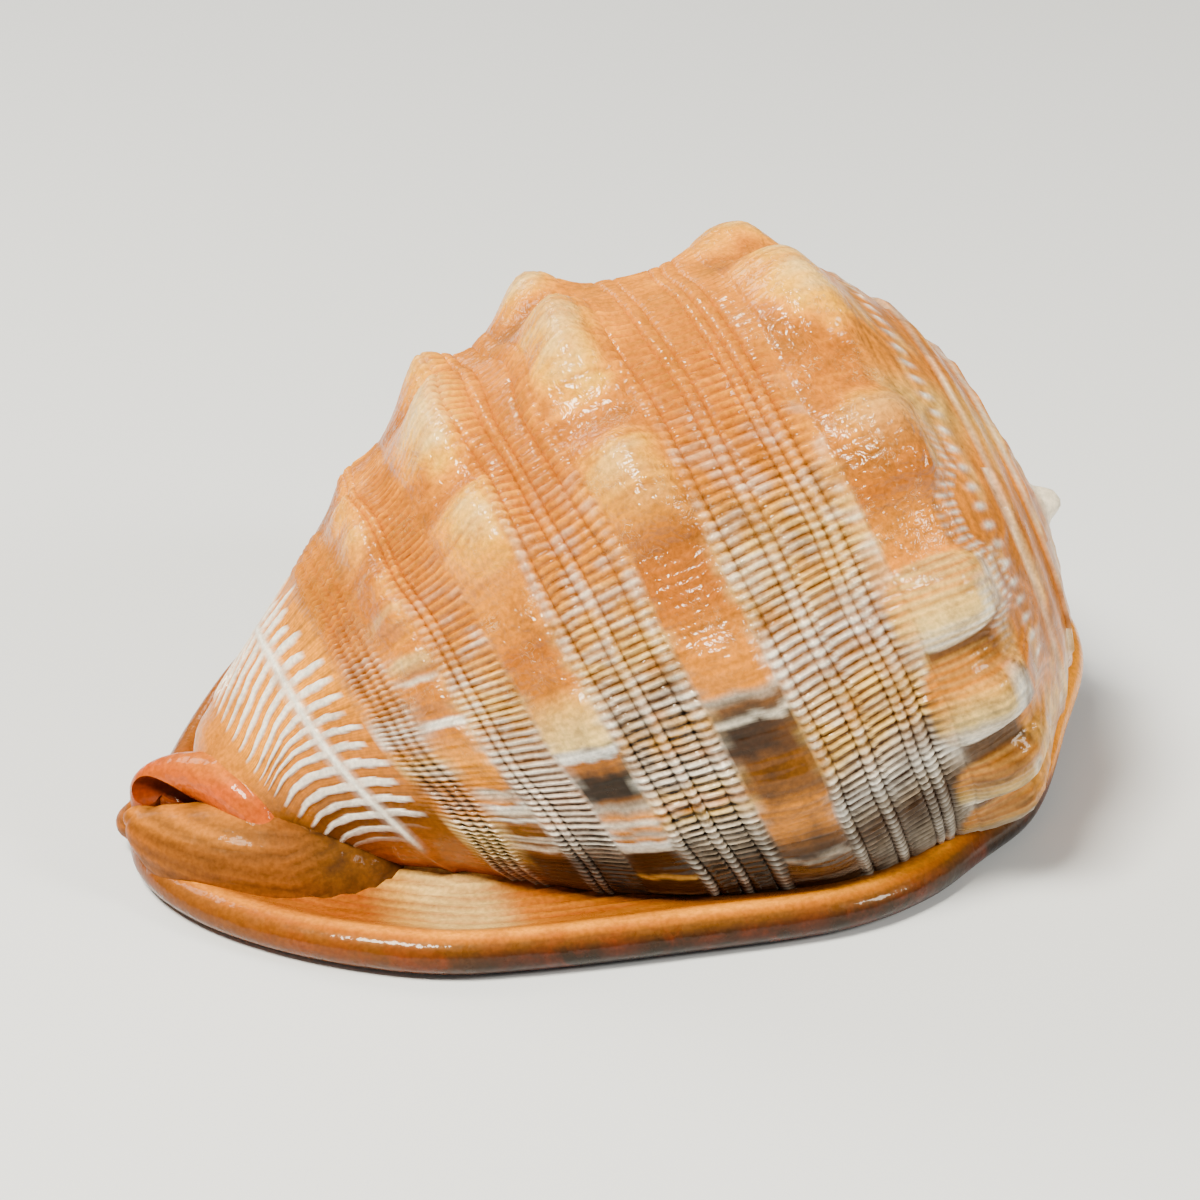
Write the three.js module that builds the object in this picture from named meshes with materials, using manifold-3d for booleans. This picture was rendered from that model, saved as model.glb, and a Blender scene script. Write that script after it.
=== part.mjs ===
// A helmet shell lying on its opening: one grown piece, hollow, with three rows of knobs on the last whorl,
// a wide shield round the opening and a short canal turned up at the front. Millimetres, +Z up.
// The spire is at +X, the canal at -X, the near side of the shield at -Y and the outer lip at +Y.
import * as THREE from 'three';
import { mergeVertices } from 'three/addons/utils/BufferGeometryUtils.js';
import Module from 'manifold-3d';

const wasm = await Module();
wasm.setup();

// The middle of the shell's footprint, as measured from the foot of the coil's frame.
const FOOTPRINT_MIDDLE = [5.48, 8.16];

// The coil: where the spire ends, how far its axis dips towards the canal, and how it turns in plan.
const SPIRE_TIP = new THREE.Vector3(72, 2, 42.5);
const AXIS_DIP = 17;
const AXIS_TURN = 1;

// The last whorl on the back, as distance along the axis from the tip and distance from the axis.
const BACK_PROFILE = [
  [1, 0],
  [1.5, 1.4],
  [3.2, 2.7],
  [5, 4.4],
  [7, 12],
  [12, 28.6],
  [20, 41],
  [29.5, 49.5],
  [43, 52.5],
  [63.5, 54],
  [84.5, 48],
  [103.5, 37],
  [118, 26.5],
  [128.5, 19],
  [133.5, 13.5],
  [136.5, 0],
];

// How the whorl has grown at each angle round the axis, across it and along it, against the back.
// 0 is under the shell, 90 the near side, 180 the back, 270 the far side and 330 the outer lip.
const GROWTH = [
  [0, 0.8, 0.9],
  [45, 0.79, 0.86],
  [90, 0.87, 0.92],
  [135, 0.93, 0.98],
  [180, 1, 1],
  [225, 1.02, 1],
  [270, 1.07, 1.03],
  [315, 1.09, 1.05],
  [360, 0.8, 0.9],
];
const WHORL_RATIO = 1.42;

// Knobs stand in rows along the whorl, further and further apart as it grows. Each row has its place
// and height for four sides, and leans some degrees towards the outer lip halfway up the near side.
const KNOB_ANGLES = [54, 72, 91, 112, 140, 175, 206, 241, 277];
const KNOB_HALF = 0.33;
const KNOB_SIDES = [85, 165, 206, 262];
const KNOB_ROWS = [
  { along: [27, 29, 31.2, 31], height: [3.8, 5.2, 4.8, 3.5], lean: 0, steep: 4, fade: 9 },
  { along: [65, 65, 62.5, 63], height: [1.3, 5.2, 5.4, 2], lean: 8, steep: 5, fade: 6.5 },
  { along: [86, 86, 83, 84], height: [1.2, 4.8, 4.9, 2.2], lean: 15, steep: 5, fade: 5.5 },
  { along: [100.5, 100.5, 98.5, 99], height: [0.8, 2.2, 2, 1.2], lean: 16, steep: 3.5, fade: 4 },
];
const LEAN = { angle: 148, half: 28 };

// Raised cords run along the whorl between the rows, and short ribs cross it by the canal.
const CORDS = [41.5, 48, 54.5, 60.5, 72, 77.5, 83, 93.5, 109.5];
const CORD_HALF = 1.6;
const CORD_HEIGHT = 0.8;
const KEEL = { along: 118.5, half: 1.3, height: 1.1 };
const RIB_BAND = { along: 123.5, half: 5, pitch: 13, height: 0.9 };
const SUTURE = { depth: 2.4, from: 18, to: 26 };
const SUTURE_START = { from: 4, to: 12 };

// The shield and outer lip: the outline of their rim in plan, anticlockwise from the canal.
const RIM = [
  [-69.5, 3],
  [-69.2, -6.5],
  [-65.5, -16],
  [-58.5, -25.2],
  [-48, -34],
  [-34.5, -41],
  [-20, -43.5],
  [2, -44.5],
  [24, -44.2],
  [38, -39.5],
  [49.5, -31],
  [61.5, -21],
  [71, -6],
  [79.5, 9],
  [79.5, 24],
  [71, 39],
  [58, 52.5],
  [40, 61],
  [20, 64],
  [0, 63],
  [-20, 59],
  [-35, 52.5],
  [-46, 44],
  [-55, 34],
  [-61.5, 23],
  [-66.5, 12],
];
const RIM_HEART = new THREE.Vector2(4, 8);
const RIM_STEPS = 56;
const RIM_THICK = { shield: 8, lip: 15, front: 6 };
const LIP_SIDE = { from: 5, to: 45 };
const CANAL_SIDE = { from: 40, to: 68 };
const SPIRE_END = { from: 56, to: 82 };
const SPIRE_END_RISE = 6.5;

// Rings of the shield's section: how far inside the rim each lies, and its height in millimetres under
// the shield, as a share of the thickness round the rim, and in millimetres again inside the body.
const UNDER_RINGS = [[30, 1.8], [17, 0], [5, 0]];
const RIM_RINGS = [[1.7, 0.12], [0.3, 0.35], [0.3, 0.65], [1.7, 0.9], [4.5, 1], [8, 0.88]];
const INNER_RINGS = [[14, 7.2], [30, 7.2]];
const COIL_FOOT = 4;

// The angles at which the whorl shows, and its steps there and under the shield.
const SHOWN = { from: 40, to: 330 };
const STEP = 5.4;
const COARSE_STEP = 16;

// A box that holds the whole shell, for level cuts.
const ROOM = 400;

// The opening: a long narrow slit, toothed on both sides.
const SLIT = [
  [53, 18.5],
  [38, 18],
  [20, 17],
  [0, 15],
  [-20, 11.5],
  [-38, 7],
  [-50, 3],
];
const SLIT_WIDTH = 11;
const SLIT_TOP = 16;
const SLIT_UNDER = 5;
const TEETH = { lip: 17, column: 19, long: 10, wide: 3.8, high: 3, middle: 3.5, proud: 2.2 };

// The hollow inside: its wall, the column it winds round and the floor under it.
const WALL = 5.5;
const COLUMN = 10;
const FLOOR = 10;
const HOLLOW = { first: 40, last: 342, start: 20, end: 121 };
const HOLLOW_OPENS = { from: 34, to: 124 };

// The canal at the front: a round beak, a curled lip behind it and the channel between them.
const BEAK = [
  [-30, -10, 3, 6.5],
  [-41, -11, 5, 9],
  [-52, -9.5, 6, 9.2],
  [-61, -6.5, 7.5, 7.4],
  [-67, -3.5, 9.8, 4.4],
  [-69, -2, 11, 2],
];
const CURLED_LIP = [
  [-66.5, 2, 9, 2],
  [-65.5, 2.5, 13.5, 2.4],
  [-60, 0.5, 16.6, 3],
  [-54.5, -4.5, 15.3, 3.7],
  [-50.5, -10, 12, 3.8],
  [-51, -14, 9, 2.2],
];
const CHANNEL = [
  [-74, -2, 14.5, 2.4],
  [-66, -2, 13.5, 2.4],
  [-60, -3, 12, 2.2],
  [-54, -3, 8, 2.4],
  [-49, 1.5, 1, 3],
  [-46, 4.5, -5, 3.2],
];
const FRONT_NUB = [
  [-66, 8, 3.5, 3],
  [-68.5, 5.5, 5, 2.6],
  [-68, 3.5, 8, 1.8],
];
const BACK_NUB = [
  [72, 24, 8, 4],
  [79.5, 23, 12, 2.6],
  [80.5, 22, 15, 1.4],
];

const radians = THREE.MathUtils.degToRad;
const alongAxis = new THREE.Vector3(
  -Math.cos(radians(AXIS_DIP)) * Math.cos(radians(AXIS_TURN)),
  -Math.cos(radians(AXIS_DIP)) * Math.sin(radians(AXIS_TURN)),
  -Math.sin(radians(AXIS_DIP)),
);
const towardNear = new THREE.Vector3(Math.sin(radians(AXIS_TURN)), -Math.cos(radians(AXIS_TURN)), 0);
const towardBack = new THREE.Vector3().crossVectors(alongAxis, towardNear);

// A smooth curve through a list of points, read as a value of column c at x.
function readCurve(points, x, c = 1) {
  let i = 0;
  while (i < points.length - 2 && x > points[i + 1][0]) i += 1;
  const slope = (k) => {
    const a = points[Math.max(k - 1, 0)];
    const b = points[Math.min(k + 1, points.length - 1)];
    return (b[c] - a[c]) / (b[0] - a[0]);
  };
  const span = points[i + 1][0] - points[i][0];
  const u = THREE.MathUtils.clamp((x - points[i][0]) / span, 0, 1);
  const rest = 1 - u;
  return (1 + 2 * u) * rest * rest * points[i][c] + u * rest * rest * span * slope(i)
    + u * u * (3 - 2 * u) * points[i + 1][c] - u * u * rest * span * slope(i + 1);
}

// How far x is between two limits, from 0 to 1, plain and eased.
const share = (x, { from, to }) => THREE.MathUtils.clamp((x - from) / (to - from), 0, 1);
const smoothShare = (x, { from, to }) => THREE.MathUtils.smoothstep(x, from, to);

const bell = (x) => Math.exp(-x * x);
const dome = (x) => Math.exp(-x * x * x * x);

// Knobs: each rises steeply on the spire side and fades towards the canal.
function knobs(angle, along) {
  const side = (values) => readCurve(KNOB_SIDES.map((at, i) => [at, values[i]]), angle);
  let height = 0;
  for (const row of KNOB_ROWS) {
    const d = along - side(row.along);
    const rise = side(row.height) * bell(d / (d < 0 ? row.steep : row.fade));
    for (let i = 0; i < KNOB_ANGLES.length; i += 1) {
      const centre = KNOB_ANGLES[i] + row.lean * bell((KNOB_ANGLES[i] - LEAN.angle) / LEAN.half);
      const apart = i === 0 ? KNOB_ANGLES[1] - KNOB_ANGLES[0] : KNOB_ANGLES[i] - KNOB_ANGLES[i - 1];
      height += rise * dome((angle - centre) / (apart * KNOB_HALF));
    }
  }
  return height;
}

// Everything raised on the whorl above its smooth form.
function relief(angle, along) {
  let height = knobs(angle, along);
  for (const cord of CORDS) height += CORD_HEIGHT * bell((along - cord) / CORD_HALF);
  height += KEEL.height * bell((along - KEEL.along) / KEEL.half);
  height += RIB_BAND.height * bell((along - RIB_BAND.along) / RIB_BAND.half)
    * Math.cos(2 * Math.PI * angle / RIB_BAND.pitch);
  const grown = Math.sqrt(readCurve(GROWTH, angle, 1) * readCurve(GROWTH, angle, 2));
  const turn = Math.log(Math.max(along, 0.5) * grown) / Math.log(WHORL_RATIO) - angle / 360;
  const phase = turn - Math.floor(turn);
  const spire = (1 - smoothShare(along, SUTURE)) * share(along, SUTURE_START);
  height += spire * SUTURE.depth * (phase - 0.5);
  return height;
}

// A point of the whorl, from its angle, its place along the back profile and a height above it.
function coilPoint(angle, along, height = 0) {
  const across = (readCurve(BACK_PROFILE, along) + height) * readCurve(GROWTH, angle, 1);
  const down = along * readCurve(GROWTH, angle, 2);
  return SPIRE_TIP.clone()
    .addScaledVector(alongAxis, down)
    .addScaledVector(towardBack, -Math.cos(radians(angle)) * across)
    .addScaledVector(towardNear, Math.sin(radians(angle)) * across);
}

// A closed solid from rings of points, each ring joined to the next and the two ends closed.
function solidFromRings(rings) {
  const count = rings[0].length;
  const positions = [];
  const faces = [];
  for (const ring of rings) for (const p of ring) positions.push(p.x, p.y, p.z);
  for (let r = 0; r < rings.length - 1; r += 1) {
    for (let i = 0; i < count; i += 1) {
      const a = r * count + i;
      const b = r * count + (i + 1) % count;
      faces.push(a, b, a + count, b, b + count, a + count);
    }
  }
  const close = (ring, start, flip) => {
    const middle = ring.reduce((sum, p) => sum.add(p), new THREE.Vector3()).divideScalar(count);
    const m = positions.length / 3;
    positions.push(middle.x, middle.y, middle.z);
    for (let i = 0; i < count; i += 1) {
      const j = (i + 1) % count;
      faces.push(m, start + (flip ? i : j), start + (flip ? j : i));
    }
  };
  close(rings[0], 0, false);
  close(rings[rings.length - 1], (rings.length - 1) * count, true);
  const geometry = new THREE.BufferGeometry();
  geometry.setAttribute('position', new THREE.Float32BufferAttribute(positions, 3));
  geometry.setIndex(faces);
  return toSolid(geometry);
}

// Volume inside a mesh, negative when its faces point inwards.
function signedVolume(positions, faces) {
  const [a, b, c] = [new THREE.Vector3(), new THREE.Vector3(), new THREE.Vector3()];
  let volume = 0;
  for (let i = 0; i < faces.length; i += 3) {
    a.fromArray(positions, faces[i] * 3);
    b.fromArray(positions, faces[i + 1] * 3);
    c.fromArray(positions, faces[i + 2] * 3);
    volume += a.dot(b.cross(c)) / 6;
  }
  return volume;
}

function toSolid(geometry) {
  const bare = geometry.clone();
  bare.deleteAttribute('normal');
  bare.deleteAttribute('uv');
  const merged = mergeVertices(bare, 1e-4);
  const positions = new Float32Array(merged.attributes.position.array);
  const faces = [];
  const index = merged.index.array;
  for (let i = 0; i < index.length; i += 3) {
    const [a, b, c] = [index[i], index[i + 1], index[i + 2]];
    if (a !== b && b !== c && c !== a) faces.push(a, b, c);
  }
  if (signedVolume(positions, faces) < 0) faces.reverse();
  return new wasm.Manifold(new wasm.Mesh({
    numProp: 3,
    vertProperties: positions,
    triVerts: new Uint32Array(faces),
  }));
}

function toGeometry(solid) {
  const mesh = solid.getMesh();
  const geometry = new THREE.BufferGeometry();
  geometry.setAttribute('position', new THREE.BufferAttribute(new Float32Array(mesh.vertProperties), 3));
  geometry.setIndex(new THREE.BufferAttribute(new Uint32Array(mesh.triVerts), 1));
  geometry.computeVertexNormals();
  return geometry;
}

// A round bar through a list of places, each with its own radius, with rounded ends.
function bar(stations, sides = 10, steps = 10) {
  const path = new THREE.CatmullRomCurve3(stations.map((s) => new THREE.Vector3(s[0], s[1], s[2])));
  const radii = stations.map((s, i) => [i / (stations.length - 1), s[3]]);
  const rings = [];
  const frames = path.computeFrenetFrames(steps, false);
  for (let i = 0; i <= steps; i += 1) {
    const centre = path.getPoint(i / steps);
    const radius = readCurve(radii, i / steps);
    rings.push(Array.from({ length: sides }, (_, k) => {
      const turn = 2 * Math.PI * k / sides;
      return centre.clone()
        .addScaledVector(frames.normals[i], Math.cos(turn) * radius)
        .addScaledVector(frames.binormals[i], Math.sin(turn) * radius);
    }));
  }
  return solidFromRings(rings);
}

// What is left of a solid above a level.
function cutBelow(solid, level) {
  const above = new THREE.BoxGeometry(ROOM, ROOM, ROOM);
  above.translate(0, 0, level + ROOM / 2);
  return solid.intersect(toSolid(above));
}

// The last whorl and the spire as one closed form, cut level inside the shield.
function whorl() {
  const angles = [];
  for (let angle = 0; angle < 360; angle += angle >= SHOWN.from && angle < SHOWN.to ? STEP : COARSE_STEP) {
    angles.push(angle);
  }
  const stations = [1.1, 1.6, 3.2, 5, 6.2, 7.5, 11, 15, 19, 22.5, 25.5, 28, 30.5, 34, 38];
  for (const cord of CORDS) stations.push(cord, cord + 2.9);
  stations.push(67, 87.5, 90.5, 100, 103.5, 116.5, 118.5, 120.5, 123.5, 127, 130.5, 133.5, 135.9);
  stations.sort((a, b) => a - b);
  const spaced = stations.filter((s, i) => i === 0 || s - stations[i - 1] > 1);
  const rings = spaced.map((along) => angles.map((angle) => coilPoint(angle, along, relief(angle, along))));
  return solidFromRings(rings);
}

// The hollow, which winds once round the column and narrows to nothing at its inner end.
function hollow() {
  const rings = [];
  const steps = 20;
  const rows = 8;
  for (let i = 0; i <= steps; i += 1) {
    const angle = THREE.MathUtils.lerp(HOLLOW.first, HOLLOW.last, i / steps);
    const open = Math.sqrt(share(angle, HOLLOW_OPENS));
    const ring = [];
    for (let k = 0; k <= rows; k += 1) {
      const along = THREE.MathUtils.lerp(HOLLOW.start, HOLLOW.end, k / rows);
      const outer = readCurve(BACK_PROFILE, along) - WALL;
      const reach = COLUMN + Math.max(outer - COLUMN, 1.5) * open;
      ring.push(coilPoint(angle, along, reach - readCurve(BACK_PROFILE, along)));
    }
    for (let k = rows; k >= 0; k -= 2) {
      const along = THREE.MathUtils.lerp(HOLLOW.start, HOLLOW.end, k / rows);
      ring.push(coilPoint(angle, along, COLUMN - 1 - readCurve(BACK_PROFILE, along)));
    }
    rings.push(ring);
  }
  return cutBelow(solidFromRings(rings), FLOOR);
}

// The shield and the outer lip: a plate with a thick round rim, dished on its under side.
function shield() {
  const outline = new THREE.CatmullRomCurve3(RIM.map(([x, y]) => new THREE.Vector3(x, y, 0)), true);
  const edge = Array.from({ length: RIM_STEPS }, (_, i) => outline.getPoint(i / RIM_STEPS));
  const thickness = (p) => {
    const plain = THREE.MathUtils.lerp(RIM_THICK.shield, RIM_THICK.lip, smoothShare(p.y, LIP_SIDE));
    return THREE.MathUtils.lerp(plain, RIM_THICK.front, smoothShare(-p.x, CANAL_SIDE));
  };
  const ring = (inset, height) => edge.map((p) => {
    const out = new THREE.Vector2(p.x, p.y).sub(RIM_HEART);
    const reach = out.length();
    out.multiplyScalar((reach - inset) / reach).add(RIM_HEART);
    return new THREE.Vector3(out.x, out.y, height(p) + SPIRE_END_RISE * smoothShare(out.x, SPIRE_END));
  });
  return solidFromRings([
    ...UNDER_RINGS.map(([inset, level]) => ring(inset, () => level)),
    ...RIM_RINGS.map(([inset, part]) => ring(inset, (p) => thickness(p) * part)),
    ...INNER_RINGS.map(([inset, level]) => ring(inset, () => level)),
  ]);
}

// The slit through the shield, with straight walls and round ends.
function slit() {
  const path = new THREE.CatmullRomCurve3(SLIT.map(([x, y]) => new THREE.Vector3(x, y, 0)));
  const shape = new THREE.Shape();
  const steps = 24;
  const side = (sign) => Array.from({ length: steps + 1 }, (_, i) => {
    const p = path.getPoint(i / steps);
    const run = path.getTangent(i / steps);
    const ends = Math.min(i, steps - i);
    const half = SLIT_WIDTH / 2 * (ends === 0 ? 0.5 : 1);
    return new THREE.Vector2(p.x - run.y * half * sign, p.y + run.x * half * sign);
  });
  shape.setFromPoints([...side(1), ...side(-1).reverse()]);
  const geometry = new THREE.ExtrudeGeometry(shape, { depth: SLIT_TOP + SLIT_UNDER, bevelEnabled: false });
  geometry.translate(0, 0, -SLIT_UNDER);
  return toSolid(geometry);
}

// Teeth: low rounded folds that cross each side of the slit, evenly spaced, and stick out into it.
function teeth() {
  const path = new THREE.CatmullRomCurve3(SLIT.map(([x, y]) => new THREE.Vector3(x, y, 0)));
  const makeSide = (count, sign) => Array.from({ length: count }, (_, i) => {
    const place = (i + 0.7) / (count + 0.4);
    const p = path.getPointAt(place);
    const run = path.getTangentAt(place);
    const out = new THREE.Vector3(-run.y * sign, run.x * sign, 0);
    const inner = p.clone().addScaledVector(out, SLIT_WIDTH / 2 - TEETH.proud);
    const outer = inner.clone().addScaledVector(out, TEETH.long);
    const fold = new THREE.SphereGeometry(1, 6, 4);
    fold.scale(TEETH.long / 2, TEETH.wide / 2, TEETH.high);
    fold.rotateZ(Math.atan2(out.y, out.x));
    const middle = inner.add(outer).multiplyScalar(0.5);
    fold.translate(middle.x, middle.y, TEETH.middle);
    return toSolid(fold);
  });
  return [...makeSide(TEETH.lip, -1), ...makeSide(TEETH.column, 1)];
}

// The whole shell as one piece.
function helmetShell() {
  const coil = cutBelow(whorl().add(bar(BEAK)).add(bar(CURLED_LIP)), COIL_FOOT);
  const base = cutBelow(shield().add(bar(FRONT_NUB, 8, 5)).add(bar(BACK_NUB, 8, 5)), 0);
  let solid = coil.add(base).subtract(hollow()).subtract(slit()).subtract(bar(CHANNEL, 8, 10));
  for (const tooth of teeth()) solid = solid.add(tooth);
  return toGeometry(solid);
}

const nacre = new THREE.MeshStandardMaterial({ color: 0xd9a25e, roughness: 0.32, metalness: 0 });
const shell = new THREE.Mesh(helmetShell(), nacre);
shell.name = 'shell';
shell.position.set(-FOOTPRINT_MIDDLE[0], -FOOTPRINT_MIDDLE[1], 0);

const helmet = new THREE.Group();
helmet.name = 'helmet_shell';
helmet.add(shell);

export default helmet;
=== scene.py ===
"""A helmet shell on a pale floor: one finely modelled piece over the CAD solid, with its shell patterns."""
import math

import bpy
import numpy as np
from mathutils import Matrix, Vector


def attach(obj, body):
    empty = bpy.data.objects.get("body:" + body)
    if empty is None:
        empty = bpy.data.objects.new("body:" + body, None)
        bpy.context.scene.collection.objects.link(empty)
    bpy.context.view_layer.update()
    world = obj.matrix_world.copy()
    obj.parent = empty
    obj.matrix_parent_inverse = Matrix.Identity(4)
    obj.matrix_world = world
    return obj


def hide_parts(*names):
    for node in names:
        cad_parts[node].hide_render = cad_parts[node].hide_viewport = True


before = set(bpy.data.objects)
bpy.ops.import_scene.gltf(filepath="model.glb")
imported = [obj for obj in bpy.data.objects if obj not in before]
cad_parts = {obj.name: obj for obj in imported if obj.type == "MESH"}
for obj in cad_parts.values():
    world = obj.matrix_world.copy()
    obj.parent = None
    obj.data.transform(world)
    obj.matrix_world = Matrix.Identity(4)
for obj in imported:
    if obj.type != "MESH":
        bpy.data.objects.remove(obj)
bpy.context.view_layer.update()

# The coil's frame against the row frame, in millimetres, and the coil's axis, as in the part's source.
FOOTPRINT_MIDDLE = np.array([5.48, 8.16, 0])
SPIRE_TIP = np.array([72, 2, 42.5])
AXIS_DIP = math.radians(17)
AXIS_TURN = math.radians(1)
ALONG_AXIS = np.array([-math.cos(AXIS_DIP) * math.cos(AXIS_TURN),
                       -math.cos(AXIS_DIP) * math.sin(AXIS_TURN),
                       -math.sin(AXIS_DIP)])
TOWARD_NEAR = np.array([math.sin(AXIS_TURN), -math.cos(AXIS_TURN), 0])
TOWARD_BACK = np.cross(ALONG_AXIS, TOWARD_NEAR)

# The last whorl on the back (along the axis, radius), and its growth by angle (angle, across, along).
BACK_PROFILE = [(1, 0), (1.5, 1.4), (3.2, 2.7), (5, 4.4), (7, 12), (12, 28.6), (20, 41), (29.5, 49.5),
                (43, 52.5), (63.5, 54), (84.5, 48), (103.5, 37), (118, 26.5), (128.5, 19), (133.5, 13.5),
                (136.5, 0)]
GROWTH = [(0, 0.8, 0.9), (45, 0.79, 0.86), (90, 0.87, 0.92), (135, 0.93, 0.98), (180, 1, 1),
          (225, 1.02, 1), (270, 1.07, 1.03), (315, 1.09, 1.05), (360, 0.8, 0.9)]
WHORL_RATIO = 1.42

# Knobs, in rows: their angles, and each row's place and height by side.
KNOB_ANGLES = [54, 72, 91, 112, 140, 175, 206, 241, 277]
KNOB_HALF = 0.33
KNOB_SIDES = [85, 165, 206, 262]
KNOB_ROWS = [
    dict(along=(27, 29, 31.2, 31), height=(3.8, 5.2, 4.8, 3.5), lean=0, steep=4, fade=9),
    dict(along=(65, 65, 62.5, 63), height=(1.3, 5.2, 5.4, 2), lean=8, steep=5, fade=6.5),
    dict(along=(86, 86, 83, 84), height=(1.2, 4.8, 4.9, 2.2), lean=15, steep=5, fade=5.5),
    dict(along=(100.5, 100.5, 98.5, 99), height=(0.8, 2.2, 2, 1.2), lean=16, steep=3.5, fade=4),
]
LEAN_ANGLE, LEAN_HALF = 148, 28
SUTURE_DEPTH = 1.8
SUTURE_SHIFT = 1.585

# Small knobs between the third and fourth band: their place along, and growth lines in degrees.
SMALL_KNOB_PLACE = 102.6
SMALL_KNOBS = [120.5, 130.5, 140.5, 151, 162, 174, 186]

# The crisp knobs of the first row near the shield: middle angle and half width, in degrees.
SCALLOPS = [(54, 7.4), (70.3, 7.4), (92, 9.6), (110.5, 7.6)]
SCALLOP_MIDDLE, SCALLOP_HALF = 34.4, 7.6

# The rim of the shield and outer lip, anticlockwise from the canal.
RIM = [(-69.5, 3), (-69.2, -6.5), (-65.5, -16), (-58.5, -25.2), (-48, -34), (-34.5, -41), (-20, -43.5),
       (2, -44.5), (24, -44.2), (38, -39.5), (49.5, -31), (61.5, -21), (71, -6), (79.5, 9), (79.5, 24),
       (71, 39), (58, 52.5), (40, 61), (20, 64), (0, 63), (-20, 59), (-35, 52.5), (-46, 44), (-55, 34),
       (-61.5, 23), (-66.5, 12)]
RIM_HEART = np.array([4, 8])
RIM_STEPS = 220
COIL_FOOT = 4
PLAIN_RIM, BACK_RISE, FRONT_RIM = 6.4, 8.6, 5.8

# The shield's section, by distance inside the rim: the underside's heights, the rolled rim's shares of the
# rim's thickness, and the trough's heights with the pitch and height of its lamellae.
UNDERSIDE = [(30, 1.8), (25, 1.35), (20, 0.35), (17, 0), (11, 0), (6.5, 0), (5, 0)]
ROLLED_RIM = [(3.6, 0.02), (2.6, 0.06), (1.7, 0.12), (1, 0.2), (0.45, 0.3), (0.1, 0.42), (0, 0.54),
              (0.15, 0.66), (0.5, 0.78), (1.1, 0.88), (1.9, 0.96), (2.9, 1), (4, 0.99), (5.3, 0.93),
              (6.8, 0.84), (8.4, 0.76)]
TROUGH = [(9, 4.7), (11, 4.3), (14, 4.1), (18, 4.4), (23, 5.6), (27, 7), (30, 7.2)]
TROUGH_START, TROUGH_END, TROUGH_STEP = 10, 29.8, 0.8
LAMELLA_PITCH, LAMELLA_HEIGHT = 2.4, 0.22

# The slit under the shell with its teeth, and the hollow above it.
SLIT = [(53, 18.5), (38, 18), (20, 17), (0, 15), (-20, 11.5), (-38, 7), (-50, 3)]
SLIT_WIDTH, SLIT_TOP = 11, 16
TEETH_LIP, TEETH_COLUMN = 17, 19
TOOTH_LONG, TOOTH_WIDE, TOOTH_HIGH, TOOTH_MIDDLE, TOOTH_PROUD = 10, 3.8, 3, 3.5, 2.2
WALL, COLUMN, FLOOR = 5.5, 10, 10
HOLLOW_FIRST, HOLLOW_LAST, HOLLOW_START, HOLLOW_END = 40, 342, 20, 121

# Round bars of the canal: places with their radii.
BEAK = [(-30, -12, 1, 5), (-40, -12.5, 3, 8.4), (-51, -11, 5, 9.2), (-61, -7.5, 6.5, 7.4),
        (-67, -4.5, 9, 4.2), (-69, -2.5, 10.5, 2)]
CURLED_LIP = [(-66.8, 2.8, 8.5, 2.2), (-66.4, 2.6, 12.4, 2.4), (-62.5, 0.2, 15, 2.9),
              (-57.5, -4.4, 15.6, 3.8), (-53.6, -9.2, 13.8, 4), (-52, -13.4, 10.8, 2.6)]
LIP_WALL = [(-66.5, 5, 7, 3), (-62.5, 4.2, 10.5, 3.6), (-56, -0.5, 12, 4), (-53, -6, 11, 4)]
CHANNEL = [(-74, -0.6, 12.9, 2.6), (-66, -0.6, 12.6, 2.6), (-60, -2.4, 12, 2.5), (-54, -3, 8, 2.4),
           (-49, 1.5, 1, 3), (-46, 4.5, -5, 3.2)]
FRONT_NUB = [(-66, 8, 3.5, 3), (-68.5, 5.5, 5, 2.6), (-68, 3.5, 8, 1.8)]
BACK_NUB = [(76, 24, 8, 3), (79, 23, 11.5, 2.4), (80.5, 22, 14.5, 1.2)]

# Where the whorl is ribbed across and grooved along: places along the coil, in millimetres.
BANDS = [(39.2, 60.6), (71, 84.4), (92.3, 100.2), (105.8, 111.4)]
GROOVES = [39.2, 43, 45.2, 47, 52, 54.2, 58.5, 60.6, 71, 73.7, 77.3, 79.2, 82.5, 84.4,
           92.3, 97.2, 98.6, 100.2, 105.8, 107.2, 108.6, 110, 111.4]
BAND_EDGES = [edge for band in BANDS for edge in band]
CORDS = [44.1, 46.1, 53.1, 59.6, 72.3, 78.2, 83.5, 97.9, 99.4, 106.5, 107.9, 109.3, 110.7]
GROOVE_HALF = 0.42
KEEL = 118.3
BEAD_PLACE, THREAD_PITCH = 21.6, 1.25

# What repeats round the whorl, in degrees: riblets near and far, with mesh lines to each, ribs and beads.
RIBLET_PITCH, RIBLET_SAMPLES = 1.7, 4
FAR_PITCH, FAR_SAMPLES, FAR_FROM = 1.85, 3, 208
SHOWN_FROM, SHOWN_TO, HIDDEN_LINES = 54, 318, 22
RIB_PITCH, RIB_PHASE = 6.5, 141.3
BEAD_PITCH = 4.2

# Mesh rings along the coil besides the grooves' own. Past the last value, a groove has one ring.
SPIRE_RINGS = [1.1, 1.6, 2.4, 3.2, 4.1, 5, 5.7, 6.4, 7.2, 8]
KEEL_RINGS = [117.6, 118, 118.3, 118.6, 119]
END_RINGS = [129.6, 130.8, 132, 133.2, 134.2, 135, 135.7, 136.1]
SINGLE_FROM = 104

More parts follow.
